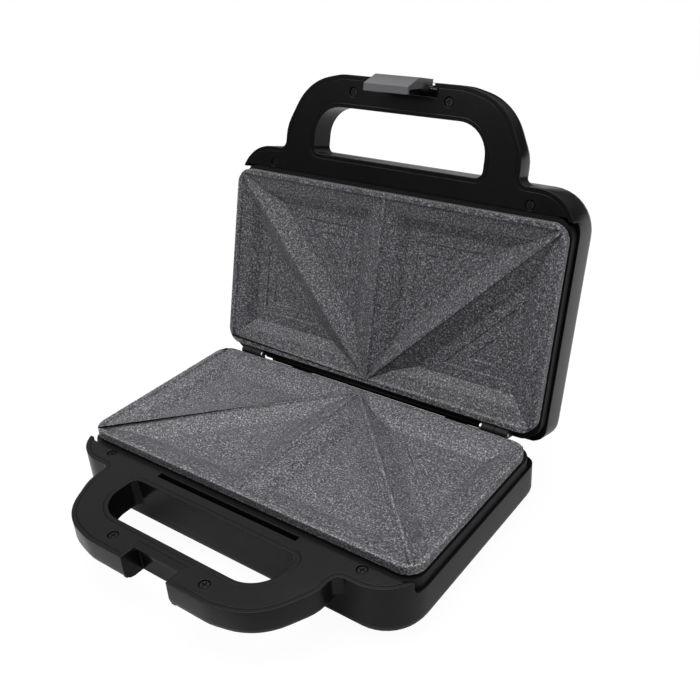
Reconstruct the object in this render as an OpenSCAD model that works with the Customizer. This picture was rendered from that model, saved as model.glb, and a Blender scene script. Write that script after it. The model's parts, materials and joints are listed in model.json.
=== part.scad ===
// Countertop sandwich toaster with two cooking plates and a hinged lid, drawn wide open.
// Millimetres and degrees. X runs across the front, Y to the rear and Z up.
// The origin is on the table, in the middle of the open toaster's outline.
// Both halves are drawn as they lie when shut, facing each other across the parting plane.

/* [Cooking plates] */
// Width of each cooking plate
plate_w = 230; // [224:1:236]
// Depth of each cooking plate, from the front to the rear edge
plate_d = 118; // [116:1:122]
// Corner radius of the plates
plate_r = 10; // [8:0.5:12]
// Height of the plates' outer skirt
skirt_h = 5; // [4:0.25:5.5]
// Gap between the two plates' rims when the lid is shut
rim_gap = 0.5; // [0.4:0.1:1]
// Width of the flat rim round the cells
rim_w = 3; // [2.5:0.25:4]
// Width of the flat crests of the cutting ridges
crest_w = 1.5; // [1:0.25:2]
// Depth of the steep lip just inside each pocket's edge
lip_depth = 1.2; // [0.8:0.1:1.5]
// Depth of the pressing shoulder
shoulder_depth = 3.1; // [2.5:0.1:3.5]
// Depth of the deep terrace
terrace_depth = 6.9; // [6:0.1:7.2]
// Height of each of the two small steps in the pocket floor
step_h = 0.6; // [0.4:0.1:0.8]
// Thickness of metal left under the deepest floor
plate_floor = 3; // [2.5:0.25:3.5]

/* [Housing] */
// Width that the housing adds on each side of the plates
side_margin = 2; // [1.5:0.25:3]
// Distance from the plates' front edge to the housing's front wall
front_margin = 16; // [15:0.5:17]
// Distance from the plates' rear edge to the housing's rear wall
rear_margin = 7.5; // [7:0.25:8.5]
// Corner radius of the housing seen from above
housing_r = 24; // [20:1:26]
// Height of each housing from the parting plane to its flat outer face
housing_h = 36.5; // [35.5:0.5:42]
// Radius of the housing's outer bottom edge
bottom_round = 8; // [6:0.5:9]
// Wall thickness of the moulded housings
wall = 2.5; // [2.25:0.25:3]
// Distance from the parting plane to the deck beside the handle
deck_drop = 5.5; // [5:0.25:6]
// Height of the side and rear gap between each deck plane and the wall's edge
vent_gap = 7.8; // [7:0.2:9]
// Radius of the foot of that gap at the front corners
vent_round = 4; // [3:0.5:5]

/* [Handles] */
// Distance from the plates' front edge to the handles' front face
handle_reach = 64; // [63:0.5:67]
// Width across the handle's two legs
handle_w = 162; // [156:1:168]
// Height of the handle bar
handle_h = 16.5; // [15.5:0.5:18]
// Width of the finger hole
hole_w = 118; // [112:1:122]
// Distance from the plates' front edge to the finger hole's front edge
hole_reach = 45; // [43:0.5:46]
// Width of the rim that stays round the deck plates
deck_rim = 2.5; // [2:0.25:3]
// Thickness of the deck plates
deck_t = 2.5; // [2:0.25:2.5]
// Fit clearance all round the deck plates
deck_fit = 0.15; // [0.1:0.05:0.3]
// Length of the steam slot in the base deck
slot_l = 100; // [80:2:110]
// Width of the steam slot
slot_w = 3.4; // [2.5:0.1:3.4]

/* [Hinge] */
// Distance of the hinge axis behind the plates' rear edge
hinge_set = 3; // [2.9:0.1:3.3]
// Angle to which the lid opens
open_angle = 105; // [95:1:106]
// Radius of the hinge knuckles
knuckle_r = 2.5; // [2.3:0.1:2.6]
// Radius of the hinge and latch pins
pin_r = 1.2; // [1:0.1:1.3]
// Radial clearance of the pins
pin_fit = 0.05; // [0.02:0.01:0.1]
// Width of each hinge knuckle
knuckle_w = 8; // [6:0.5:9]
// Side gap between two neighbouring knuckles
knuckle_gap = 0.3; // [0.3:0.1:0.6]
// Distance of each hinge from the middle
hinge_x = 92; // [86:1:94]

/* [Latch] */
// Width of the latch
latch_w = 30; // [26:1:32]
// Side gap between the latch and its notch
notch_fit = 1; // [0.6:0.1:1.5]
// Distance that the latch stands in front of the handle
latch_proud = 2; // [1.5:0.25:2.5]
// Depth of the latch nose below the parting plane
nose_drop = 10; // [9.6:0.1:10.6]
// Height of the latch pivot above the parting plane
pivot_h = 13; // [12.5:0.25:13.5]

/* [Feet and cord inlet] */
// Height of the rubber feet
foot_h = 4; // [3:0.5:6]
// Radius of the rubber feet
foot_r = 8; // [6:0.5:10]
// Radius of the cord inlet's bore
inlet_r = 3.5; // [3:0.25:4]

/* [Hidden] */
$fn = 48;
eps = 0.01;
// Largest turn between two neighbouring points of an outline's arc
arc_step = 9;

// Outlines and levels shared by both halves; the base half lies below the parting plane.
housing_hw = plate_w / 2 + side_margin;
rear_y = plate_d + rear_margin;
deck_z = -deck_drop;
wall_edge_z = deck_z - vent_gap;
handle_z = deck_z - handle_h;
rim_z = -rim_gap / 2;
hinge_y = plate_d + hinge_set;
// Rear wall's edge between the hinges, clear of the other half's when the lid stands open
rear_edge_gap = 0.75;
rear_edge_z = -(rear_y - hinge_y) * tan(open_angle / 2) - rear_edge_gap;
rear_edge_hw = hinge_x - knuckle_w - 4;
base_z = foot_h + housing_h;
deck_edge_y = -3.2;
vent_start_y = -1;
side_hw = handle_w / 2;
hole_hw = hole_w / 2;
hole_r = 18;
hole_root_r = 4.5;
root_r = 5;
handle_round = 6;

// Middle of the open toaster: from the base handle's front to the lid's farthest corner
corner_y = hinge_y + front_margin - bottom_round;
open_rear = hinge_y - corner_y * cos(open_angle)
    + (housing_h - bottom_round) * sin(open_angle) + bottom_round;
mid_y = (open_rear - handle_reach) / 2;

// Cooking plate levels
cell_depth = terrace_depth + 2 * step_h;
pan_z = rim_z - cell_depth - plate_floor;
pan_set = 4;
pan_r = 6;
cell_hw = plate_w / 2 - rim_w;
cell_rear = plate_d - rim_w;

// Liner, reflector and heater levels
liner_top = rim_z - skirt_h - 1.75;
liner_hw = plate_w / 2 + 0.5;
liner_front = -2.9;
liner_rear = hinge_y + knuckle_r + 0.1;
liner_t = 1.8;
liner_r = plate_r + 2;
liner_fit = 0.2;
pan_fit = 0.6;
heater_r = 3.2;
heater_z = pan_z - heater_r;
heater_y = [34, plate_d - 34];
heater_mid_y = (heater_y[0] + heater_y[1]) / 2;
heater_end_x = plate_w / 2 - 43;
clamp_t = 1;
clamp_z = heater_z - heater_r;
clamp_x = plate_w / 2 - 79;
reflector_z = clamp_z - clamp_t - 2;
sheet_t = 0.8;
boss_x = plate_w / 2 - 53;
boss_y = [19, plate_d - 19];
boss_r = 4.5;
screw_r = 1.9;
screw_fit = 0.05;
floor_z = -housing_h + wall;
liner_bottom = reflector_z - sheet_t - liner_t;

// Handle screws: two in the bar and two beside the plates, mirrored left and right
deck_screw_at = [[32.5, 9.5 - handle_reach], [plate_w / 2 - 25.5, -6.5]];
deck_screw_r = 1.5;
deck_head_r = 2.8;
deck_recess = 1.5;
deck_boss_r = 3.4;
flange_hw = deck_screw_at[1].x - deck_boss_r - deck_fit;

// Latch, its notch in the base handle and its pocket in the lid handle
handle_front = -handle_reach;
notch_hw = latch_w / 2 + notch_fit;
pivot_y = handle_front + 3;
ledge_y = handle_front + 8.7;
ledge_t = 1.9;
catch_y = handle_front + 11.5;
latch_front = handle_front - latch_proud;
latch_hook_y = handle_front + 7.8;
pocket_hw = 22.5;
pocket_rear = handle_front + 8;
pocket_wall = 2;
pocket_top = handle_h + deck_drop - wall;

// Hinge stops on the base's rear wall
stop_x = 60;
stop_w = 14;

// Feet, inlet, lamps and fuse
foot_at = [[plate_w / 2 - 30, 12], [plate_w / 2 - 30, plate_d - 20]];
foot_pin_r = 3;
inlet_x = 30;
inlet_z = floor_z + 7;
inlet_wall = 1.5;
inlet_h = 3;
lens_x = 10;
lens_y = 10;
lens_r = 3;
lens_fit = 0.05;
fuse_r = 2.4;
fuse_at = [-50, heater_mid_y + 3];
thermostat_y = plate_d - 22;
terminal_at = [-boss_x, plate_d - 20];
terminal_h = reflector_z - sheet_t - floor_z - 3.45;
lamp_drop = housing_h - wall + liner_bottom - 1.65;

// ---------------------------------------------------------------- outlines

function unit(v) = v / norm(v);

// Arc that rounds the corner at p, between its neighbours a and b
function corner(a, p, b, r) =
    r == 0 ? [p] :
    let (
        u = unit(a - p),
        v = unit(b - p),
        h = acos(u * v) / 2,
        c = p + unit(u + v) * r / sin(h),
        s = p + u * r / tan(h) - c,
        e = p + v * r / tan(h) - c,
        first = atan2(s.y, s.x),
        turn = atan2(s.x * e.y - s.y * e.x, s * e),
        n = ceil(abs(turn) / arc_step)
    )
    [for (i = [0:n]) c + r * [cos(first + turn * i / n), sin(first + turn * i / n)]];

function flat(v) = [v.x, v.y];

// Closed outline from corners [x, y, radius], counter-clockwise
function rounded(v) =
    [for (i = [0:len(v) - 1]) each corner(
        flat(v[(i + len(v) - 1) % len(v)]), flat(v[i]), flat(v[(i + 1) % len(v)]), v[i].z)];

// The right half of an outline, joined to its mirror image on the left
function both_sides(right) = concat(
    [for (i = [len(right) - 1:-1:0]) [-right[i].x, right[i].y, right[i].z]], right);

// The same outline moved inwards by d (outwards where d is negative)
function inset(pts, d) =
    [for (i = [0:len(pts) - 1])
        let (
            n = len(pts),
            u = unit(pts[i] - pts[(i + n - 1) % n]),
            v = unit(pts[(i + 1) % n] - pts[i]),
            nu = [-u.y, u.x],
            nv = [-v.y, v.x]
        )
        pts[i] + d * (nu + nv) / (1 + nu * nv)];

function housing_outline() =
    rounded(both_sides([[housing_hw, -front_margin, housing_r], [housing_hw, rear_y, housing_r]]));

// Handle without its root fillets: straight legs, slanted shoulders and a straight front
function handle_outline() =
    rounded(both_sides([
        [side_hw - 39, handle_front, 30],
        [side_hw - 14, handle_front + 5.7, 14],
        [side_hw, handle_front + 34, 24],
        [side_hw, 0, 0]
    ]));

// Rounded rectangle from y0 to y1 with its own corner radii at the front and the rear
module round_rect(hw, y0, y1, r_front, r_rear) {
    difference() {
        translate([-hw, y0]) square([2 * hw, y1 - y0]);
        left_right() {
            translate([hw - r_front, y0 + r_front]) difference() {
                translate([0, -r_front - 1]) square(r_front + 1);
                circle(r_front);
            }
            translate([hw - r_rear, y1 - r_rear]) difference() {
                square(r_rear + 1);
                circle(r_rear);
            }
        }
    }
}

// Outline of the housing, moved inwards by d
module housing_area(d) {
    round_rect(housing_hw - d, -front_margin + d, rear_y - d, housing_r - d, housing_r - d);
}

// Outline of the finger hole, grown by d
module hole_area(d) {
    round_rect(hole_hw + d, -hole_reach - d, -front_margin + d, hole_r + d, hole_root_r + d);
}

// Hollow corners where the handle's legs meet the housing's front, moved inwards by d
module root_area(d) {
    r = root_r + d;
    left_right() translate([side_hw - d, -front_margin + d]) difference() {
        translate([-1, -r]) square(r + 1);
        translate([r, -r]) circle(r);
    }
}

// ---------------------------------------------------------------- solid helpers

// Skin through a stack of rings [z, points], lowest first, closed at both ends
module loft(rings) {
    n = len(rings[0][1]);
    top = len(rings) - 1;
    points = [for (r = rings) each [for (p = r[1]) [p.x, p.y, r[0]]]];
    sides = [for (i = [0:top - 1]) for (j = [0:n - 1]) let (k = (j + 1) % n) each [
        [i * n + j, (i + 1) * n + j, (i + 1) * n + k], [i * n + j, (i + 1) * n + k, i * n + k]]];
    polyhedron(points, concat([[for (j = [0:n - 1]) j]], sides,
        [[for (j = [n - 1:-1:0]) top * n + j]]));
}

// Straight solid between two heights over the outline given as child
module slab(z0, z1) {
    translate([0, 0, z0]) linear_extrude(z1 - z0) children();
}

module left_right() {
    children();
    mirror([1, 0, 0]) children();
}

module rod_x(x0, x1, r) {
    translate([x0, 0, 0]) rotate([0, 90, 0]) cylinder(r = r, h = x1 - x0);
}

// Places the base half, with the parting plane base_z over the table
module in_base() {
    translate([0, -mid_y, base_z]) children();
}

// Places the lid half, mirrored over the base and turned open about the hinge axis
module in_lid() {
    in_base()
        translate([0, hinge_y, 0]) rotate([-open_angle, 0, 0]) translate([0, -hinge_y, 0])
            children();
}

module upside() {
    mirror([0, 0, 1]) children();
}

// ---------------------------------------------------------------- housing

// Steps [inset, height] that round a lower edge of radius r
function edge_steps(r, n) =
    [for (i = [0:n]) let (a = 90 * i / n) [r * (1 - sin(a)), r * (1 - cos(a))]];

// Solid over an outline with a round lower edge
module tray(outline, z0, z1, r, n) {
    loft(concat([for (e = edge_steps(r, n)) [z0 + e[1], inset(outline, e[0])]],
        [[z1, outline]]));
}

// Outer form of one half: deep tub, handle and the hollow roots between them
module housing_form() {
    tray(housing_outline(), -housing_h, deck_z, bottom_round, 4);
    tray(handle_outline(), handle_z, deck_z, handle_round, 3);
    slab(handle_z + handle_round, deck_z) root_area(0);
}

// Flat area of a deck plate: the handle loop and the strip before the plates, d short of the rim
module deck_area(d) {
    difference() {
        union() {
            polygon(inset(handle_outline(), deck_rim + d));
            housing_area(deck_rim + d);
            root_area(deck_rim + d);
        }
        hole_area(deck_rim + d);
        translate([-housing_hw, deck_edge_y]) square(2 * housing_hw);
    }
}

// Bosses under the deck screws; the front pair stands on the handle floor, the rear pair in the tub
module deck_bosses() {
    left_right() for (i = [0, 1])
        translate([deck_screw_at[i].x, deck_screw_at[i].y, i == 0 ? handle_z + 1 : -housing_h + 1])
            cylinder(r = deck_boss_r, h = deck_z - deck_t - (i == 0 ? handle_z : -housing_h) - 1);
}

module deck_screw_bores() {
    left_right() for (p = deck_screw_at)
        translate([p.x, p.y, deck_z - deck_t - 9])
            cylinder(r = deck_screw_r + screw_fit, h = 10);
}

// The open gap along both sides and the rear, with a round foot at the front corners. The rear
// wall stands higher between the hinges.
module vent_cut() {
    difference() {
        rotate([90, 0, 90]) translate([0, 0, -housing_hw - 1]) linear_extrude(2 * housing_hw + 2)
            difference() {
                translate([vent_start_y, wall_edge_z]) square([rear_y + 10, vent_gap + 10]);
                translate([vent_start_y, wall_edge_z]) difference() {
                    square(vent_round);
                    translate([vent_round, vent_round]) circle(vent_round);
                }
            }
        translate([-rear_edge_hw, liner_rear + liner_fit, wall_edge_z - 1])
            cube([2 * rear_edge_hw, 2 * rear_margin, rear_edge_z - wall_edge_z + 1]);
    }
}

// One moulded half without the features that differ between base and lid
module half_shell() {
    difference() {
        union() {
            difference() {
                housing_form();
                slab(handle_z - 1, deck_z + 1) hole_area(0);
                slab(floor_z, floor_z + 3.5) housing_area(wall + 2.5);
                slab(floor_z + 3, 1) housing_area(wall);
                slab(handle_z + wall, deck_z - deck_t) difference() {
                    polygon(inset(handle_outline(), wall + 1.2));
                    hole_area(wall + 1);
                }
                slab(deck_z - deck_t, 1) deck_area(0);
                vent_cut();
            }
            deck_bosses();
            slab(handle_z + 3, deck_z) difference() {
                hole_area(deck_rim);
                hole_area(0);
                translate([-housing_hw, -front_margin - 1]) mirror([0, 1]) square(2 * housing_hw);
            }
        }
        deck_screw_bores();
    }
}

module stop_lugs() {
    left_right() translate([stop_x - stop_w / 2, 0, 0])
        rotate([90, 0, 90]) linear_extrude(stop_w)
            polygon([
                [rear_y - 1, -24], [rear_y, -24], [rear_y + 9, -14],
                [rear_y + 9, -9.1], [rear_y + 7, -8.6], [rear_y - 1, wall_edge_z - 1]
            ]);
}

module floor_vents() {
    left_right() for (i = [0:6])
        translate([20 + 6 * i, 35, -housing_h - 1]) cube([2.5, plate_d - 68, wall + 2]);
}

module base_shell() color("#1b1b1c") in_base() {
    difference() {
        union() {
            half_shell();
            notch_frame();
            stop_lugs();
        }
        notch();
        floor_vents();
        left_right() for (p = foot_at)
            translate([p.x, p.y, -housing_h - 1])
                cylinder(r = foot_pin_r + screw_fit, h = wall + 2);
        translate([inlet_x, rear_y + 1, inlet_z]) rotate([90, 0, 0])
            cylinder(r = inlet_r + inlet_wall, h = wall + 4);
    }
}

// Solid surround of the latch notch, flush with the deck
module notch_frame() {
    translate([-notch_hw - deck_rim, handle_front + 1, handle_z + 2])
        cube([2 * (notch_hw + deck_rim), catch_y + 1 - handle_front, handle_h - 2]);
}

// Notch through the handle's front, set back under the ledge that the latch hooks
module notch() {
    translate([-notch_hw, handle_front - 5, handle_z - 1])
        cube([2 * notch_hw, catch_y - handle_front + 5, handle_h + 1 - ledge_t]);
    translate([-notch_hw, handle_front - 5, handle_z])
        cube([2 * notch_hw, ledge_y - handle_front + 5, handle_h + 5]);
}

module lid_shell() color("#1b1b1c") in_lid() difference() {
    union() {
        upside() half_shell();
        pocket_box();
    }
    translate([-pocket_hw, pivot_y - 2.8, deck_drop - 1])
        cube([2 * pocket_hw, pocket_rear - pivot_y + 2.8, pocket_top - deck_drop + 1 - eps]);
    translate([-notch_hw, handle_front - 5, deck_drop - 1])
        cube([2 * notch_hw, pocket_rear - handle_front + 5, pivot_h + 5 - deck_drop + 1]);
    translate([-pocket_hw, pivot_y - 1.2, deck_drop - 1])
        cube([2 * pocket_hw, pocket_rear - pivot_y + 1.2, 4]);
    translate([0, pivot_y, pivot_h]) rod_x(-pocket_hw - 3.5, pocket_hw + 3.5, pin_r + pin_fit);
    for (s = [-1, 1]) translate([s * lens_x, lens_y, housing_h - wall - 1])
        cylinder(r = lens_r + lens_fit, h = wall + 2);
}

// Walls round the latch pocket, inside the lid handle
module pocket_box() {
    translate([-pocket_hw - 4, pivot_y - 1, deck_drop + deck_t])
        cube([2 * pocket_hw + 8, pocket_rear + pocket_wall - pivot_y + 1,
            handle_h - deck_t - 1]);
}

// ---------------------------------------------------------------- decks

module half_deck() {
    difference() {
        union() {
            translate([0, 0, deck_z - deck_t]) linear_extrude(deck_t) deck_area(deck_fit);
            translate([-flange_hw, deck_edge_y - 1.3, deck_z - 6])
                cube([2 * flange_hw, 1.3, 6 - eps]);
        }
        left_right() for (p = deck_screw_at) translate([p.x, p.y, 0]) {
            translate([0, 0, deck_z - deck_recess])
                cylinder(r = deck_head_r + 0.2, h = deck_recess + 1);
            translate([0, 0, deck_z - deck_t - 1])
                cylinder(r = deck_screw_r + 0.2, h = deck_t + 2);
        }
    }
}

module base_deck() color("#252526") in_base() difference() {
    half_deck();
    translate([-notch_hw - deck_rim, handle_front - 1, handle_z])
        cube([2 * (notch_hw + deck_rim), catch_y + 3.2 - handle_front, handle_h + 1]);
    translate([-slot_l / 2, deck_edge_y - 1.4 - slot_w, deck_z - deck_t - 1])
        cube([slot_l, slot_w, deck_t + 2]);
}

module lid_deck() color("#252526") in_lid() difference() {
    upside() half_deck();
    translate([-pocket_hw - 2.5, handle_front - 1, deck_drop - 1])
        cube([2 * pocket_hw + 5, pocket_rear + 1 - handle_front, deck_t + 2]);
}

// Pan-head screws with a cross recess, heads towards the parting plane
module half_deck_screws() {
    left_right() for (p = deck_screw_at) translate([p.x, p.y, deck_z - deck_recess])
        difference() {
            union() {
                cylinder(r1 = deck_head_r, r2 = deck_head_r - 0.5, h = 1);
                translate([0, 0, -9]) cylinder(r = deck_screw_r, h = 9 + eps);
            }
            for (a = [0, 90]) rotate([0, 0, a])
                translate([-1.7, -0.35, 0.3]) cube([3.4, 0.7, 1]);
        }
}

module base_deck_screws() color("#303032") in_base() half_deck_screws();

module lid_deck_screws() color("#303032") in_lid() upside() half_deck_screws();

// ---------------------------------------------------------------- cooking plates

// Corners of a right triangle pocket moved inwards: legs by a, long side by b
function pocket_corners(leg_x, leg_y, a, b) =
    let (reach_x = leg_x - b * sqrt(2), reach_y = leg_y - b * sqrt(2))
    [[a, a], [reach_x - a, a], [a, reach_y - a]];

// Triangular well with a lip, a pressing shoulder and two small steps in its floor.
// Each row gives the depth and the distances from the outer sides and from the ridge.
module pocket_well(leg) {
    rows = [
        [-1, -0.3, -0.3], [0, 0, 0], [lip_depth, 1.2, 0.8], [shoulder_depth, 8.6, 4.2],
        [terrace_depth, 15.2, 10.9], [terrace_depth + 0.3, 21.8, 17.6],
        [terrace_depth + 0.3 + step_h, 22.4, 18.2], [cell_depth - step_h, 28.6, 24.2],
        [cell_depth, 29.2, 24.8]
    ];
    loft([for (i = [len(rows) - 1:-1:0])
        [-rows[i][0], pocket_corners(leg.x, leg.y, rows[i][1], rows[i][2])]]);
}

// Four wells: two cells, each split by a ridge from the outer front to the inner rear corner
module pocket_wells() {
    leg = [cell_hw - crest_w / 2 - crest_w * sqrt(2) / 2, cell_rear - rim_w - crest_w * sqrt(2) / 2];
    left_right() {
        translate([crest_w / 2, rim_w, rim_z]) pocket_well(leg);
        translate([cell_hw, cell_rear, rim_z]) rotate([0, 0, 180]) pocket_well(leg);
    }
}

module half_plate() {
    difference() {
        union() {
            slab(rim_z - skirt_h, rim_z) round_rect(plate_w / 2, 0, plate_d, plate_r, plate_r);
            slab(pan_z, rim_z - skirt_h + 1)
                round_rect(plate_w / 2 - pan_set, pan_set, plate_d - pan_set, pan_r, pan_r);
            left_right() for (y = boss_y)
                translate([boss_x, y, reflector_z]) cylinder(r = boss_r, h = pan_z + 1 - reflector_z);
            left_right() translate([clamp_x, heater_mid_y, clamp_z])
                cylinder(r = boss_r, h = pan_z + 1 - clamp_z);
        }
        pocket_wells();
        left_right() for (y = boss_y) translate([boss_x, y, reflector_z - 1])
            cylinder(r = screw_r + screw_fit, h = 8);
        left_right() translate([clamp_x, heater_mid_y, clamp_z - 1])
            cylinder(r = screw_r + screw_fit, h = 7);
    }
}

module base_plate() color("#6a6b74") in_base() half_plate();

module lid_plate() color("#6a6b74") in_lid() upside() half_plate();

// ---------------------------------------------------------------- liners and hinge

// Heat-proof frame between plate and housing: a channel with a wide upper band
module half_liner() {
    difference() {
        union() {
            slab(wall_edge_z, liner_top)
                round_rect(liner_hw, liner_front, liner_rear, liner_r, liner_r);
            slab(liner_bottom, wall_edge_z + eps) difference() {
                housing_area(wall + liner_fit);
                translate([-housing_hw, liner_front + 0.5]) mirror([0, 1]) square(2 * housing_hw);
            }
        }
        slab(liner_bottom + liner_t, 1) round_rect(plate_w / 2 - pan_set + pan_fit,
            pan_set - pan_fit, plate_d - pan_set + pan_fit, pan_r, pan_r);
        slab(liner_bottom + liner_t, liner_top - liner_t) round_rect(liner_hw - liner_t - 1.5,
            liner_front + 0.5 + liner_t, liner_rear - liner_t - 1, 8, 14);
        slab(liner_bottom - 1, 1) round_rect(plate_w / 2 - 15, 11, plate_d - 11, 5, 5);
    }
}

// One knuckle standing on the liner's rear edge, bored for the pin
module knuckle(x) {
    difference() {
        translate([x, hinge_y, 0]) union() {
            rod_x(0, knuckle_w, knuckle_r);
            translate([0, -knuckle_r, liner_top - 1]) cube([knuckle_w, 2 * knuckle_r, 1 - liner_top]);
        }
        translate([x, hinge_y, 0]) rod_x(-1, knuckle_w + 1, pin_r + pin_fit);
    }
}

module base_liner() color("#141415") in_base() {
    half_liner();
    left_right() knuckle(hinge_x - knuckle_w - knuckle_gap / 2);
}

module lid_liner() color("#141415") in_lid() upside() {
    half_liner();
    left_right() knuckle(hinge_x + knuckle_gap / 2);
}

// Two headed pins, each through one base knuckle and one lid knuckle
module hinge_pins() color("#9a9a9c") in_base() left_right() translate([hinge_x, hinge_y, 0]) {
    rod_x(-knuckle_w - knuckle_gap, knuckle_w + knuckle_gap, pin_r);
    rod_x(-knuckle_w - knuckle_gap / 2 - 1.2, -knuckle_w - knuckle_gap / 2, knuckle_r - 0.4);
}

// ---------------------------------------------------------------- heating parts

module half_reflector() {
    difference() {
        slab(reflector_z - sheet_t, reflector_z)
            round_rect(plate_w / 2 - 9, 5, plate_d - 5, pan_r, pan_r);
        left_right() for (y = boss_y) translate([boss_x, y, reflector_z - 2])
            cylinder(r = screw_r + 0.2, h = 3);
        translate([0, thermostat_y, reflector_z - 2]) cylinder(r = 9, h = 3);
        for (y = heater_y) translate([-heater_end_x - 24, y - 4, reflector_z - 2]) cube([14, 8, 3]);
    }
}

module base_reflector() color("#b9babc") in_base() half_reflector();

module lid_reflector() color("#b9babc") in_lid() upside() half_reflector();

module half_plate_screws() {
    left_right() for (y = boss_y) translate([boss_x, y, reflector_z - sheet_t]) {
        translate([0, 0, -eps]) cylinder(r = screw_r, h = 7);
        translate([0, 0, -2]) difference() {
            cylinder(r = 3.5, h = 2);
            translate([-2.2, -0.5, -0.2]) cube([4.4, 1, 1]);
        }
    }
}

module base_plate_screws() color("#8d8e91") in_base() half_plate_screws();

module lid_plate_screws() color("#8d8e91") in_lid() upside() half_plate_screws();

// Tubular element: two legs, a half-round bend and two cold pins turned down to the terminals
module half_heater() {
    for (y = heater_y) translate([0, y, heater_z]) {
        rod_x(-heater_end_x, heater_end_x, heater_r);
        rod_x(-heater_end_x - 4, -heater_end_x, heater_r - 0.6);
        rod_x(-heater_end_x - 14, -heater_end_x, 1.4);
        translate([-heater_end_x - 14, -3, -10]) cube([0.8, 6, 11.4]);
    }
    translate([heater_end_x, heater_mid_y, heater_z]) rotate([0, 0, -90])
        rotate_extrude(angle = 180) translate([(heater_y[1] - heater_y[0]) / 2, 0]) circle(heater_r);
}

module base_heater() color("#565450") in_base() half_heater();

module lid_heater() color("#565450") in_lid() upside() half_heater();

module half_heater_clamps() {
    left_right() difference() {
        translate([clamp_x - 6, heater_y[0] - 4, clamp_z - clamp_t])
            cube([12, heater_y[1] - heater_y[0] + 8, clamp_t]);
        translate([clamp_x, heater_mid_y, clamp_z - 2]) cylinder(r = screw_r + 0.2, h = 3);
    }
}

module base_heater_clamps() color("#a5a6a8") in_base() half_heater_clamps();

module lid_heater_clamps() color("#a5a6a8") in_lid() upside() half_heater_clamps();

module half_clamp_screws() {
    left_right() translate([clamp_x, heater_mid_y, clamp_z - clamp_t]) {
        translate([0, 0, -eps]) cylinder(r = screw_r, h = 6);
        translate([0, 0, -1.8]) cylinder(r = 3.5, h = 1.8);
    }
}

module base_clamp_screws() color("#8d8e91") in_base() half_clamp_screws();

module lid_clamp_screws() color("#8d8e91") in_lid() upside() half_clamp_screws();

// Disc thermostat pressed against the plate, with its flange under the reflector
module base_thermostat() color("#c9c2b4") in_base() translate([0, thermostat_y, 0]) {
    translate([0, 0, reflector_z - 5]) cylinder(r = 8, h = pan_z - reflector_z + 5);
    difference() {
        translate([-15, -5, reflector_z - sheet_t - 1]) cube([30, 10, 1]);
        for (s = [-1, 1]) translate([12 * s, 0, reflector_z - 4]) cylinder(r = 1.5, h = 5);
    }
    for (s = [-1, 1]) translate([4 * s - 0.4, -3, reflector_z - 11]) cube([0.8, 6, 7]);
}

module thermal_fuse() color("#d8d4c6") in_base()
    translate([fuse_at.x, fuse_at.y, reflector_z - sheet_t - fuse_r]) {
        rod_x(-16, 16, fuse_r);
        rod_x(-24, 24, 0.6);
    }

// Saddle that holds the fuse against the reflector
module fuse_clip() color("#a5a6a8") in_base()
    translate([fuse_at.x, fuse_at.y, reflector_z - sheet_t - fuse_r]) difference() {
        union() {
            rod_x(-4, 4, fuse_r + 0.9);
            translate([-4, 0, fuse_r - 0.8]) cube([8, 10, 0.8]);
        }
        rod_x(-5, 5, fuse_r + 0.02);
        translate([-5, -6, fuse_r]) cube([10, 20, 4]);
        translate([0, 7, 0]) cylinder(r = 1.5, h = 4);
    }

module terminal_block() color("#e4e1d8") in_base()
    translate([terminal_at.x, terminal_at.y, floor_z]) difference() {
        translate([-18, -7, 0]) cube([36, 14, terminal_h]);
        for (i = [-1:1]) translate([11 * i, 0, terminal_h / 3]) cylinder(r = 2.2, h = terminal_h);
        for (i = [-1:1]) translate([11 * i, 8, terminal_h / 2 - 0.5]) rotate([90, 0, 0])
            cylinder(r = 1.8, h = 16);
    }

// ---------------------------------------------------------------- feet, inlet and lamps

module feet() color("#3a3a3b") in_base() left_right() for (p = foot_at)
    translate([p.x, p.y, -housing_h]) {
        translate([0, 0, -foot_h]) cylinder(r1 = foot_r - 0.8, r2 = foot_r, h = foot_h);
        translate([0, 0, -eps]) cylinder(r = foot_pin_r, h = wall + eps);
        translate([0, 0, wall]) cylinder(r1 = foot_pin_r + 0.8, r2 = foot_pin_r - 0.6, h = 2);
    }

// Flanged bush in the rear wall, bored for the supply cord
module cord_inlet() color("#1f1f20") in_base()
    translate([inlet_x, rear_y, inlet_z]) rotate([-90, 0, 0]) difference() {
        union() {
            translate([0, 0, -wall]) cylinder(r = inlet_r + inlet_wall, h = wall + eps);
            cylinder(r1 = inlet_r + 3, r2 = inlet_r + 2.2, h = inlet_h);
        }
        translate([0, 0, -wall - 1]) cylinder(r = inlet_r, h = wall + inlet_h + 2);
    }

// Lens with a low dome outside and a hollow spigot that takes the lamp
module lens(x) {
    translate([x, lens_y, housing_h]) difference() {
        union() {
            cylinder(r1 = lens_r + 1, r2 = lens_r + 0.4, h = 0.8);
            translate([0, 0, -wall - 3]) cylinder(r = lens_r, h = wall + 3 + eps);
        }
        translate([0, 0, -wall - 4]) cylinder(r = lens_r - 0.7, h = wall + 3.4);
    }
}

module power_lens() color("#c0201a") in_lid() lens(-lens_x);

module ready_lens() color("#2fa54a") in_lid() lens(lens_x);

module indicator_lamps() color("#f2d9b0") in_lid() for (s = [-1, 1])
    translate([s * lens_x, lens_y, housing_h - wall - lamp_drop + 1.5])
        cylinder(r = lens_r - 0.8, h = wall + lamp_drop - 2.5);

// Small carrier under the lens spigots, hung from two posts
module lamp_holder() color("#ded9c8") in_lid() translate([0, lens_y, housing_h - wall]) {
    translate([-16, -5, -lamp_drop]) cube([32, 10, 1.5]);
    for (s = [-1, 1]) translate([s * lens_x, 0, -lamp_drop]) difference() {
        cylinder(r = lens_r + 0.6, h = lamp_drop - 5);
        translate([0, 0, 1.5]) cylinder(r = lens_r - 0.75, h = lamp_drop - 5);
    }
    translate([0, 0, -lamp_drop]) cylinder(r = 2.5, h = lamp_drop);
}

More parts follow.
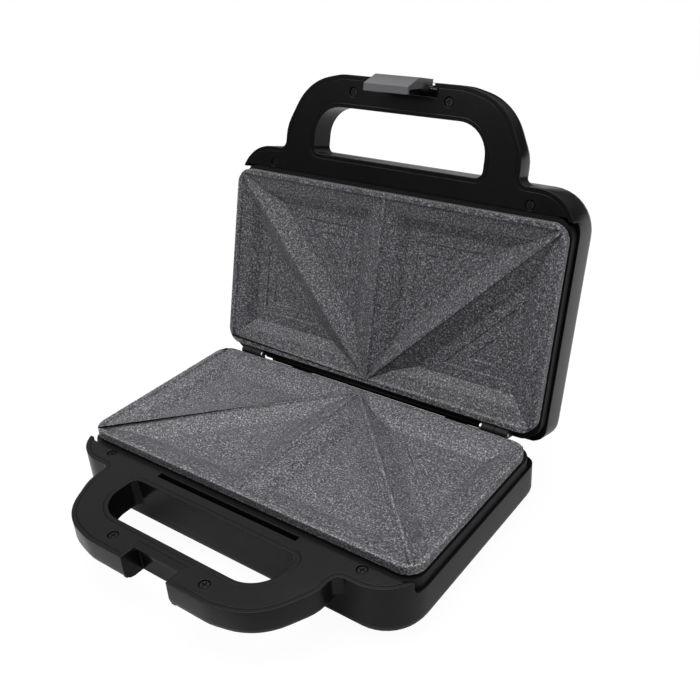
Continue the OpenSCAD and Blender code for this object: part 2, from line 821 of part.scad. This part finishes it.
// ---------------------------------------------------------------- latch

// Lever with a slanted finger lip in front and a hook behind, on a hub round the pin
module latch() color("#8f9094") in_lid() difference() {
    translate([-latch_w / 2, 0, 0]) union() {
        rotate([90, 0, 90]) linear_extrude(latch_w) polygon([
            [latch_front, 1], [handle_front + 3.5, -nose_drop], [latch_hook_y, -nose_drop],
            [latch_hook_y, -nose_drop + 1.6], [handle_front + 5.2, -nose_drop + 1.6],
            [handle_front + 4, 2], [handle_front + 4, pivot_h],
            [handle_front + 1, pivot_h + 2.6], [latch_front, pivot_h + 2.6]
        ]);
        translate([0, pivot_y, pivot_h]) rod_x(0, latch_w, pin_r + 1.4);
    }
    translate([-latch_w / 2 - 1, pivot_y, pivot_h]) rod_x(0, latch_w + 2, pin_r + pin_fit);
}

module latch_pin() color("#9a9a9c") in_lid() translate([0, pivot_y, pivot_h])
    rod_x(-pocket_hw - 3, pocket_hw + 3, pin_r);

base_shell();
base_deck();
base_deck_screws();
base_liner();
base_plate();
base_reflector();
base_plate_screws();
base_heater();
base_heater_clamps();
base_clamp_screws();
base_thermostat();
thermal_fuse();
fuse_clip();
terminal_block();
cord_inlet();
feet();
lid_shell();
lid_deck();
lid_deck_screws();
lid_liner();
lid_plate();
lid_reflector();
lid_plate_screws();
lid_heater();
lid_heater_clamps();
lid_clamp_screws();
lamp_holder();
indicator_lamps();
power_lens();
ready_lens();
hinge_pins();
latch_pin();
latch();
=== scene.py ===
import bpy
import bmesh
import math
from mathutils import Matrix, Vector
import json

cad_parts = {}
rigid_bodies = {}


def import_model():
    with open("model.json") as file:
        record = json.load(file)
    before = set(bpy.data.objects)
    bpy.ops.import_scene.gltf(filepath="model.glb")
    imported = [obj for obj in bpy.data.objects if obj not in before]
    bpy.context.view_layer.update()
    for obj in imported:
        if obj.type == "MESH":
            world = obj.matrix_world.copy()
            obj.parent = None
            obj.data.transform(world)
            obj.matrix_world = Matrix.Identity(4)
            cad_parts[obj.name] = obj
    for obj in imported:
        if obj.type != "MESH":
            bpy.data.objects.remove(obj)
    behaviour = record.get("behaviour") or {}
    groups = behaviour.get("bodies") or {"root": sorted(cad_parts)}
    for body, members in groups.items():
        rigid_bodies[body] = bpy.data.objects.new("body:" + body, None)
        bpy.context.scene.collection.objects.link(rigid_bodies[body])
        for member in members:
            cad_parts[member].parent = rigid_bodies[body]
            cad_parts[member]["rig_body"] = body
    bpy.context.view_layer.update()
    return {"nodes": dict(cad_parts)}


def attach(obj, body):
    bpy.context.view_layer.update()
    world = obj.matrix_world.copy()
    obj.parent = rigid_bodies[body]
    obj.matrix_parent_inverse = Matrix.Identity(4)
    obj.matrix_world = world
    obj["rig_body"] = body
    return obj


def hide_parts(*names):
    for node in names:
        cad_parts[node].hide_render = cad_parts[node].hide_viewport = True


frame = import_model()
nodes = frame["nodes"]
body_of = {name: node["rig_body"] for name, node in nodes.items()}
link = bpy.context.scene.collection.objects.link
MM = 0.001


# ---------------------------------------------------------------- housings
# The two deep housings are injection moulded in black high-gloss plastic. Their gloss varies
# a little, and the mould's small radii soften every edge.
def moulded_plastic(name, colour, rough, grain, edge):
    mat = bpy.data.materials.new(name)
    mat.use_nodes = True
    nt = mat.node_tree
    shader = nt.nodes["Principled BSDF"]
    shader.inputs["IOR"].default_value = 1.3
    place = nt.nodes.new("ShaderNodeTexCoord")
    cloud = nt.nodes.new("ShaderNodeTexNoise")
    cloud.inputs["Scale"].default_value = 28
    cloud.inputs["Detail"].default_value = 4
    gloss = nt.nodes.new("ShaderNodeMapRange")
    gloss.inputs["To Min"].default_value = rough * 0.82
    gloss.inputs["To Max"].default_value = rough * 1.2
    tint = nt.nodes.new("ShaderNodeValToRGB")
    for stop, level in zip(tint.color_ramp.elements, (0.85, 1.15)):
        stop.color = tuple(c * level for c in colour) + (1,)
    fine = nt.nodes.new("ShaderNodeTexNoise")
    fine.inputs["Scale"].default_value = 1900
    fine.inputs["Detail"].default_value = 2
    round_edge = nt.nodes.new("ShaderNodeBevel")
    round_edge.samples = 6
    round_edge.inputs["Radius"].default_value = edge
    bump = nt.nodes.new("ShaderNodeBump")
    bump.inputs["Strength"].default_value = grain
    bump.inputs["Distance"].default_value = 0.05 * MM
    nt.links.new(place.outputs["Object"], cloud.inputs["Vector"])
    nt.links.new(place.outputs["Object"], fine.inputs["Vector"])
    nt.links.new(cloud.outputs["Fac"], gloss.inputs["Value"])
    nt.links.new(cloud.outputs["Fac"], tint.inputs[0])
    nt.links.new(tint.outputs[0], shader.inputs["Base Color"])
    nt.links.new(gloss.outputs[0], shader.inputs["Roughness"])
    nt.links.new(fine.outputs["Fac"], bump.inputs["Height"])
    nt.links.new(round_edge.outputs[0], bump.inputs["Normal"])
    nt.links.new(bump.outputs[0], shader.inputs["Normal"])
    return mat


# Both halves are shaped as they lie when shut, in millimetres. Y runs back from the front edge
# of the plates and Z up from the plane where the halves part. These put them in the frame.
plates_front_y = -62.958
parting_z = 40.5
hinge_y = 121
open_angle = math.radians(105)
base_place = Matrix.Scale(MM, 4) @ Matrix.Translation((0, plates_front_y, parting_z))
hinge_at = Vector((0, hinge_y, 0))
lid_turn = Matrix.Rotation(-open_angle, 4, "X") @ Matrix.Translation(-hinge_at)
lid_place = base_place @ Matrix.Translation(hinge_at) @ lid_turn @ Matrix.Scale(-1, 4, (0, 0, 1))
half_place = {"base": base_place, "lid": lid_place}


# How far a corner's outline lies from the centre, at an angle off the middle of the corner.
# Both straight sides lie `reach` from the centre, and an arc joins them.
def corner_reach(off, half, reach, radius):
    knob = (reach - radius) / math.cos(half)
    tangent = math.atan2(radius * math.sin(half), knob + radius * math.cos(half))
    if abs(off) >= tangent:
        return reach / math.cos(half - abs(off))
    return knob * math.cos(off) + math.sqrt(radius ** 2 - (knob * math.sin(off)) ** 2)


# Gives both mirrored corners of a moulding a new radius. The corner spans the angles from
# `first` to `last` round its centre and is cut like a cake, so that its arc is round. What
# lies nearer the centre than `core` stays.
def recorner(bm, place, centre, first, last, reach, old, new, core, cuts):
    cut_margin = 0.1
    cut_snap = 0.004 * MM
    half = math.radians(last - first) / 2
    middle = math.radians(first + last) / 2
    back = place.inverted()

    def polar(vert, side):
        at = back @ vert.co
        arm = Vector((side * at.x - centre.x, at.y - centre.y))
        off = math.atan2(arm.y, arm.x) - middle
        return at, arm, (off + math.pi) % (2 * math.pi) - math.pi

    for side in (1, -1):
        hub = place @ Vector((side * centre.x, centre.y, 0))
        above = place @ Vector((side * centre.x, centre.y, 1))
        for i in range(cuts + 1):
            angle = math.radians(first + (last - first) * i / cuts)
            rim_x = side * (centre.x + math.cos(angle))
            rim_y = centre.y + math.sin(angle)
            toward = place @ Vector((rim_x, rim_y, 0))
            touched = set()
            for vert in bm.verts:
                _, arm, off = polar(vert, side)
                if arm.length > core and abs(off) < half + cut_margin:
                    touched.update(vert.link_faces)
            parts = list(touched)
            parts += list({edge for face in touched for edge in face.edges})
            parts += list({vert for face in touched for vert in face.verts})
            across = (toward - hub).cross(above - hub).normalized()
            bmesh.ops.bisect_plane(bm, geom=parts, dist=cut_snap, plane_co=hub, plane_no=across)
        for vert in bm.verts:
            at, arm, off = polar(vert, side)
            if arm.length > core and abs(off) < half:
                push = corner_reach(off, half, reach, new) - corner_reach(off, half, reach, old)
                share = min((arm.length - core) / (reach - core), 1)
                arm *= 1 + push * share / arm.length
                vert.co = place @ Vector((side * (centre.x + arm.x), centre.y + arm.y, at.z))


# Full shoulders on the handles and tighter corners at the hinge side
handle_shoulder = {"centre": Vector((43.7, -28.7)), "first": -77.2, "last": -26.3,
                   "reach": 34, "old": 14, "new": 34, "core": 20, "cuts": 8}
rear_corner = {"centre": Vector((93, 101.5)), "first": 0, "last": 90,
               "reach": 24, "old": 24, "new": 9, "core": 8, "cuts": 20}
weld = 0.002 * MM
flat_angle = math.radians(0.4)
crease_angle = math.radians(31)


# A moulding's surface: welded, flats joined, corners reshaped and smooth up to the creases
def moulded_skin(node, mat, half=None):
    mesh = nodes[node].data.copy()
    bm = bmesh.new()
    bm.from_mesh(mesh)
    bmesh.ops.remove_doubles(bm, verts=bm.verts, dist=weld)
    bmesh.ops.dissolve_limit(bm, angle_limit=flat_angle, verts=bm.verts, edges=bm.edges)
    if half:
        recorner(bm, half_place[half], **handle_shoulder)
        recorner(bm, half_place[half], **rear_corner)
    for face in bm.faces:
        face.smooth = True
    for edge in bm.edges:
        edge.smooth = edge.is_manifold and edge.calc_face_angle(0) < crease_angle
    bm.to_mesh(mesh)
    bm.free()
    mesh.materials.clear()
    mesh.materials.append(mat)
    skin = bpy.data.objects.new(node + "_skin", mesh)
    link(skin)
    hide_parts(node)
    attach(skin, body_of[node])


housing_black = moulded_plastic("housing_black", (0.004, 0.004, 0.0043), 0.2, 0.12, 0.7 * MM)
moulded_skin("base_shell", housing_black, half="base")
moulded_skin("lid_shell", housing_black, half="lid")

# ---------------------------------------------------------------- handle decks
# A thin satin plate closes each handle and the strip in front of the plates. It is dropped
# into a rebate and screwed down, so a fine joint runs all round it.
deck_black = moulded_plastic("deck_black", (0.0045, 0.0045, 0.005), 0.22, 0.2, 0.5 * MM)
moulded_skin("base_deck", deck_black, half="base")
moulded_skin("lid_deck", deck_black, half="lid")

# ---------------------------------------------------------------- heat frames
# The frames that carry the hot plates and the hinge knuckles are moulded in matt black
# heat-proof plastic.
frame_black = moulded_plastic("frame_black", (0.005, 0.005, 0.005), 0.5, 0.35, 0.4 * MM)
moulded_skin("base_liner", frame_black)
moulded_skin("lid_liner", frame_black)


# ---------------------------------------------------------------- rear seals
# A thin lip of the frames' own matt black plastic stands on the rear edge of each frame,
# between the hinges. Together they close the slit behind the plates when the lid is open.
lip_profile = [(121.9, -7.2), (123.4, -7.2), (123.4, -4.3), (123.0, -3.6), (121.9, -3.6)]
lip_end_x = 83.5
lip_edge = 0.25 * MM


def rear_lip(name, place, body):
    bm = bmesh.new()
    ends = []
    for x in (-lip_end_x, lip_end_x):
        ring = [bm.verts.new(place @ Vector((x, y, z))) for y, z in lip_profile]
        ends.append(bm.faces.new(ring))
    first, second = (list(face.verts) for face in ends)
    for i in range(len(lip_profile)):
        k = (i + 1) % len(lip_profile)
        bm.faces.new([first[i], first[k], second[k], second[i]])
    bmesh.ops.recalc_face_normals(bm, faces=bm.faces)
    bmesh.ops.bevel(bm, geom=bm.edges[:], offset=lip_edge, segments=2, affect="EDGES")
    for face in bm.faces:
        face.smooth = True
    mesh = bpy.data.meshes.new(name)
    bm.to_mesh(mesh)
    bm.free()
    mesh.materials.append(frame_black)
    lip = bpy.data.objects.new(name, mesh)
    link(lip)
    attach(lip, body)


rear_lip("base_rear_lip", base_place, "base")
rear_lip("lid_rear_lip", lid_place, "lid")

# ---------------------------------------------------------------- cooking plates
# Die-cast aluminium plates with a sprayed stone-look non-stick coat: dark grey with fine
# pale and black flecks and slightly rough. A painted highlight makes it paler on the crests of
# the relief, and painted shade makes it darker in the corners of the pockets.
stone = bpy.data.materials.new("stone_coat")
stone.use_nodes = True
nt = stone.node_tree
shader = nt.nodes["Principled BSDF"]
shader.inputs["IOR"].default_value = 1.45
place = nt.nodes.new("ShaderNodeTexCoord")
fleck = nt.nodes.new("ShaderNodeTexNoise")
fleck.inputs["Scale"].default_value = 1050
fleck.inputs["Detail"].default_value = 2
fleck.inputs["Roughness"].default_value = 0.6
coat = nt.nodes.new("ShaderNodeValToRGB")
coat_tones = [
    (0.34, (0.016, 0.016, 0.019)), (0.47, (0.055, 0.055, 0.062)), (0.55, (0.105, 0.105, 0.116)),
    (0.64, (0.22, 0.22, 0.235)), (0.74, (0.42, 0.42, 0.44)),
]
for i, (at, tone) in enumerate(coat_tones):
    stop = coat.color_ramp.elements[i] if i < 2 else coat.color_ramp.elements.new(at)
    stop.position = at
    stop.color = tone + (1,)
cloud = nt.nodes.new("ShaderNodeTexNoise")
cloud.inputs["Scale"].default_value = 60
shade = nt.nodes.new("ShaderNodeMapRange")
shade.inputs["To Min"].default_value = 0.88
shade.inputs["To Max"].default_value = 1.12
toned = nt.nodes.new("ShaderNodeVectorMath")
toned.operation = "SCALE"
# Painted highlight: the convex crests of the relief get a paler colour, as if they caught the
# light.
crest = nt.nodes.new("ShaderNodeAmbientOcclusion")
crest.inside = True
crest.only_local = True
crest.samples = 8
crest.inputs["Distance"].default_value = 1.6 * MM
painted_crest_highlight = nt.nodes.new("ShaderNodeMapRange")
painted_crest_highlight.inputs["From Min"].default_value = 1.0
painted_crest_highlight.inputs["From Max"].default_value = 0.45
painted_crest_highlight.inputs["To Min"].default_value = 1.0
painted_crest_highlight.inputs["To Max"].default_value = 1.8
# Painted shade: the corners of the pockets get a darker colour, where shade falls.
hollow = nt.nodes.new("ShaderNodeAmbientOcclusion")
hollow.only_local = True
hollow.samples = 8
hollow.inputs["Distance"].default_value = 4 * MM
painted_pocket_shade = nt.nodes.new("ShaderNodeMapRange")
painted_pocket_shade.inputs["From Min"].default_value = 0.6
painted_pocket_shade.inputs["To Min"].default_value = 0.55
# The painted highlight and the painted shade scale the coat's colour here.
painted_light_coat = nt.nodes.new("ShaderNodeVectorMath")
painted_light_coat.operation = "SCALE"
painted_light_factor = nt.nodes.new("ShaderNodeMath")
painted_light_factor.operation = "MULTIPLY"
sheen = nt.nodes.new("ShaderNodeMapRange")
sheen.inputs["To Min"].default_value = 0.38
sheen.inputs["To Max"].default_value = 0.6
soft_edge = nt.nodes.new("ShaderNodeBevel")
soft_edge.samples = 6
soft_edge.inputs["Radius"].default_value = 0.5 * MM
bump = nt.nodes.new("ShaderNodeBump")
bump.inputs["Strength"].default_value = 0.3
bump.inputs["Distance"].default_value = 0.12 * MM
nt.links.new(place.outputs["Object"], fleck.inputs["Vector"])
nt.links.new(place.outputs["Object"], cloud.inputs["Vector"])
nt.links.new(fleck.outputs["Fac"], coat.inputs[0])
nt.links.new(cloud.outputs["Fac"], shade.inputs["Value"])
nt.links.new(coat.outputs[0], toned.inputs[0])
nt.links.new(shade.outputs[0], toned.inputs["Scale"])
nt.links.new(crest.outputs["AO"], painted_crest_highlight.inputs["Value"])
nt.links.new(hollow.outputs["AO"], painted_pocket_shade.inputs["Value"])
nt.links.new(painted_crest_highlight.outputs[0], painted_light_factor.inputs[0])
nt.links.new(painted_pocket_shade.outputs[0], painted_light_factor.inputs[1])
nt.links.new(toned.outputs[0], painted_light_coat.inputs[0])
nt.links.new(painted_light_factor.outputs[0], painted_light_coat.inputs["Scale"])
nt.links.new(painted_light_coat.outputs[0], shader.inputs["Base Color"])
nt.links.new(fleck.outputs["Fac"], sheen.inputs["Value"])
nt.links.new(sheen.outputs[0], shader.inputs["Roughness"])
nt.links.new(fleck.outputs["Fac"], bump.inputs["Height"])
nt.links.new(soft_edge.outputs[0], bump.inputs["Normal"])
nt.links.new(bump.outputs[0], shader.inputs["Normal"])

plate_flat_angle = math.radians(0.3)
coat_edge = 0.28 * MM
coat_edge_angle = math.radians(14)
for node in ("base_plate", "lid_plate"):
    bm = bmesh.new()
    bm.from_mesh(nodes[node].data)
    bmesh.ops.remove_doubles(bm, verts=bm.verts, dist=weld)
    bmesh.ops.dissolve_limit(bm, angle_limit=plate_flat_angle, verts=bm.verts, edges=bm.edges)
    casting_mesh = bpy.data.meshes.new(node + "_casting")
    bm.to_mesh(casting_mesh)
    bm.free()
    casting = bpy.data.objects.new(node + "_casting", casting_mesh)
    link(casting)
    edges = casting.modifiers.new("coated_edges", "BEVEL")
    edges.width = coat_edge
    edges.segments = 2
    edges.limit_method = "ANGLE"
    edges.angle_limit = coat_edge_angle
    flats = casting.modifiers.new("flat_faces", "WEIGHTED_NORMAL")
    flats.keep_sharp = True
    casting_mesh.shade_smooth()
    bpy.context.view_layer.update()
    done = casting.evaluated_get(bpy.context.evaluated_depsgraph_get())
    coated_mesh = bpy.data.meshes.new_from_object(done)
    bpy.data.objects.remove(casting)
    coated_mesh.name = node + "_coated"
    coated_mesh.materials.clear()
    coated_mesh.materials.append(stone)
    coated = bpy.data.objects.new(node + "_coated", coated_mesh)
    link(coated)
    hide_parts(node)
    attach(coated, body_of[node])


# ---------------------------------------------------------------- screws, pins and sheet parts
# Blackened deck screws, bright screws, clamps and pins, aluminium reflectors and the oxidised
# tube of the heaters. Fine drawing and rolling marks vary their gloss.
def drawn_metal(name, colour, rough, marks):
    mat = bpy.data.materials.new(name)
    mat.use_nodes = True
    nt = mat.node_tree
    shader = nt.nodes["Principled BSDF"]
    shader.inputs["Metallic"].default_value = 1
    place = nt.nodes.new("ShaderNodeTexCoord")
    stretch = nt.nodes.new("ShaderNodeMapping")
    stretch.inputs["Scale"].default_value = (60, 900, 900)
    lines = nt.nodes.new("ShaderNodeTexNoise")
    lines.inputs["Scale"].default_value = 1
    tint = nt.nodes.new("ShaderNodeValToRGB")
    for stop, level in zip(tint.color_ramp.elements, (0.8, 1.15)):
        stop.color = tuple(c * level for c in colour) + (1,)
    gloss = nt.nodes.new("ShaderNodeMapRange")
    gloss.inputs["To Min"].default_value = rough * 0.7
    gloss.inputs["To Max"].default_value = rough * 1.4
    bump = nt.nodes.new("ShaderNodeBump")
    bump.inputs["Strength"].default_value = marks
    bump.inputs["Distance"].default_value = 0.03 * MM
    nt.links.new(place.outputs["Object"], stretch.inputs["Vector"])
    nt.links.new(stretch.outputs[0], lines.inputs["Vector"])
    nt.links.new(lines.outputs["Fac"], tint.inputs[0])
    nt.links.new(tint.outputs[0], shader.inputs["Base Color"])
    nt.links.new(lines.outputs["Fac"], gloss.inputs["Value"])
    nt.links.new(gloss.outputs[0], shader.inputs["Roughness"])
    nt.links.new(lines.outputs["Fac"], bump.inputs["Height"])
    nt.links.new(bump.outputs[0], shader.inputs["Normal"])
    return mat


def finish_nodes(mat, *names):
    for name in names:
        nodes[name].data.materials.clear()
        nodes[name].data.materials.append(mat)


finish_nodes(drawn_metal("black_steel", (0.03, 0.03, 0.032), 0.35, 0.2),
             "base_deck_screws", "lid_deck_screws")
finish_nodes(drawn_metal("bright_steel", (0.55, 0.55, 0.56), 0.25, 0.2),
             "base_plate_screws", "lid_plate_screws", "base_clamp_screws", "lid_clamp_screws",
             "hinge_pins", "latch_pin", "base_heater_clamps", "lid_heater_clamps", "fuse_clip")
finish_nodes(drawn_metal("rolled_aluminium", (0.78, 0.78, 0.79), 0.3, 0.3),
             "base_reflector", "lid_reflector", "base_thermostat")
finish_nodes(drawn_metal("oxidised_tube", (0.2, 0.18, 0.15), 0.5, 0.4),
             "base_heater", "lid_heater")

# ---------------------------------------------------------------- ceramic parts
# Thermal fuse, terminal block and lamp carrier are pressed and fired in cream ceramic. The
# fuse is clipped to the reflector, the block stands on the base's floor and the carrier hangs
# inside the lid.
ceramic = moulded_plastic("ceramic", (0.62, 0.59, 0.52), 0.55, 0.3, 0.3 * MM)
finish_nodes(ceramic, "thermal_fuse", "terminal_block", "lamp_holder")

# ---------------------------------------------------------------- latch
# The latch is moulded in silver-grey plastic with a satin metallic paint. Its front lip is
# slanted for the fingertip.
latch_grey = moulded_plastic("latch_grey", (0.14, 0.14, 0.15), 0.3, 0.1, 0.5 * MM)
latch_grey.node_tree.nodes["Principled BSDF"].inputs["Metallic"].default_value = 0.35
moulded_skin("latch", latch_grey)

# ---------------------------------------------------------------- feet and cord inlet
# Soft black rubber, moulded with a matt, slightly dusty skin and pushed into the housing.
rubber = moulded_plastic("rubber", (0.012, 0.012, 0.012), 0.7, 0.5, 0.4 * MM)
moulded_skin("feet", rubber)
moulded_skin("cord_inlet", rubber)


# ---------------------------------------------------------------- indicator lamps
# Two small glass lamps stand under a red and a green lens. The lenses are moulded in clear
# tinted plastic and pressed into the lid.
def tinted_lens(name, colour):
    mat = bpy.data.materials.new(name)
    mat.use_nodes = True
    nt = mat.node_tree
    shader = nt.nodes["Principled BSDF"]
    shader.inputs["Transmission Weight"].default_value = 0.6
    place = nt.nodes.new("ShaderNodeTexCoord")
    cloud = nt.nodes.new("ShaderNodeTexNoise")
    cloud.inputs["Scale"].default_value = 300
    tint = nt.nodes.new("ShaderNodeValToRGB")
    for stop, level in zip(tint.color_ramp.elements, (0.85, 1.1)):
        stop.color = tuple(c * level for c in colour) + (1,)
    gloss = nt.nodes.new("ShaderNodeMapRange")
    gloss.inputs["To Min"].default_value = 0.08
    gloss.inputs["To Max"].default_value = 0.2
    bump = nt.nodes.new("ShaderNodeBump")
    bump.inputs["Strength"].default_value = 0.1
    bump.inputs["Distance"].default_value = 0.05 * MM
    nt.links.new(place.outputs["Object"], cloud.inputs["Vector"])
    nt.links.new(cloud.outputs["Fac"], tint.inputs[0])
    nt.links.new(cloud.outputs["Fac"], gloss.inputs["Value"])
    nt.links.new(cloud.outputs["Fac"], bump.inputs["Height"])
    nt.links.new(tint.outputs[0], shader.inputs["Base Color"])
    nt.links.new(gloss.outputs[0], shader.inputs["Roughness"])
    nt.links.new(bump.outputs[0], shader.inputs["Normal"])
    return mat


finish_nodes(tinted_lens("red_lens", (0.5, 0.02, 0.015)), "power_lens")
finish_nodes(tinted_lens("green_lens", (0.02, 0.35, 0.07)), "ready_lens")
finish_nodes(tinted_lens("lamp_glass", (0.85, 0.75, 0.6)), "indicator_lamps")

# ---------------------------------------------------------------- studio floor
# A pale round floor. To the camera it glows white like the background, and the small share of
# plain chalk in it takes the object's soft shadow.
floor_radius = 1.6
floor_sides = 96
floor_mesh = bpy.data.meshes.new("studio_floor")
bm = bmesh.new()
bmesh.ops.create_circle(bm, cap_ends=True, radius=floor_radius, segments=floor_sides)
bm.to_mesh(floor_mesh)
bm.free()
floor = bpy.data.objects.new("studio_floor", floor_mesh)
link(floor)
floor_paint = bpy.data.materials.new("studio_floor")
floor_paint.use_nodes = True
nt = floor_paint.node_tree
nt.nodes.clear()
chalk = nt.nodes.new("ShaderNodeBsdfDiffuse")
chalk.inputs["Color"].default_value = (0.5, 0.5, 0.5, 1)
glow = nt.nodes.new("ShaderNodeEmission")
glow.inputs["Strength"].default_value = 1.06
path = nt.nodes.new("ShaderNodeLightPath")
share = nt.nodes.new("ShaderNodeMath")
share.operation = "MULTIPLY"
share.inputs[1].default_value = 0.9
mix = nt.nodes.new("ShaderNodeMixShader")
out = nt.nodes.new("ShaderNodeOutputMaterial")
nt.links.new(path.outputs["Is Camera Ray"], share.inputs[0])
nt.links.new(share.outputs[0], mix.inputs[0])
nt.links.new(chalk.outputs[0], mix.inputs[1])
nt.links.new(glow.outputs[0], mix.inputs[2])
nt.links.new(mix.outputs[0], out.inputs["Surface"])
floor_mesh.materials.append(floor_paint)

# ---------------------------------------------------------------- studio sky
# The camera sees a white background. The object sees a soft sky, bright overhead and dark
# near the horizon, which gives black gloss its quiet gradients.
world = bpy.data.worlds.new("studio")
bpy.context.scene.world = world
world.use_nodes = True
nt = world.node_tree
nt.nodes.clear()
where = nt.nodes.new("ShaderNodeTexCoord")
split = nt.nodes.new("ShaderNodeSeparateXYZ")
height = nt.nodes.new("ShaderNodeMapRange")
height.inputs["From Min"].default_value = -1
levels = nt.nodes.new("ShaderNodeValToRGB")
sky_levels = [(0.0, 0.02), (0.5, 0.03), (0.62, 0.2), (0.74, 0.5), (1.0, 0.8)]
for i, (at, level) in enumerate(sky_levels):
    stop = levels.color_ramp.elements[i] if i < 2 else levels.color_ramp.elements.new(at)
    stop.position = at
    stop.color = (level, level, level, 1)
sky = nt.nodes.new("ShaderNodeBackground")
white = nt.nodes.new("ShaderNodeBackground")
white.inputs["Color"].default_value = (1, 1, 1, 1)
path = nt.nodes.new("ShaderNodeLightPath")
mix = nt.nodes.new("ShaderNodeMixShader")
out = nt.nodes.new("ShaderNodeOutputWorld")
nt.links.new(where.outputs["Generated"], split.inputs[0])
nt.links.new(split.outputs["Z"], height.inputs["Value"])
nt.links.new(height.outputs[0], levels.inputs[0])
nt.links.new(levels.outputs[0], sky.inputs["Color"])
nt.links.new(path.outputs["Is Camera Ray"], mix.inputs[0])
nt.links.new(sky.outputs[0], mix.inputs[1])
nt.links.new(white.outputs[0], mix.inputs[2])
nt.links.new(mix.outputs[0], out.inputs["Surface"])

# ---------------------------------------------------------------- softboxes
# One large softbox overhead, one high at the front left and one for the housings' right side.
# Each row holds its name, its place and its aim in metres, its width and its power in watts.
softboxes = [
    ("overhead", (-0.2, 0.1, 1.5), (0, 0.03, 0.1), 1.4, 17),
    ("front_left", (-0.7, -1.1, 1.1), (0, 0.05, 0.12), 0.8, 7),
    ("right_side", (1.2, 0.35, 0.75), (0.1, 0.08, 0.1), 0.6, 5),
]
for name, at, aim, size, power in softboxes:
    lamp = bpy.data.lights.new(name, "AREA")
    lamp.size = size
    lamp.energy = power
    softbox = bpy.data.objects.new(name, lamp)
    softbox.location = at
    softbox.rotation_euler = (Vector(aim) - Vector(at)).to_track_quat("-Z", "Y").to_euler()
    link(softbox)

# ---------------------------------------------------------------- camera
# It stands at the photograph's place: in front, to the right and above, found from the
# corners of the cooking plates, the hinge line and the handles.
camera_at = Vector((284.2, -316.6, 327.3)) * MM
camera_aim = Vector((3.9, 42.1, 76.0)) * MM
camera_roll = math.radians(-3.85)
near_clip = 0.01
photo_lens = bpy.data.cameras.new("camera")
photo_lens.lens = 45.3
photo_lens.sensor_width = 36
photo_lens.clip_start = near_clip
camera = bpy.data.objects.new("camera", photo_lens)
camera.location = camera_at
level_turn = (camera_aim - camera_at).to_track_quat("-Z", "Y").to_matrix()
camera.rotation_euler = (level_turn @ Matrix.Rotation(camera_roll, 3, "Z")).to_euler()
link(camera)
bpy.context.scene.camera = camera
bpy.context.scene.view_settings.view_transform = "Standard"
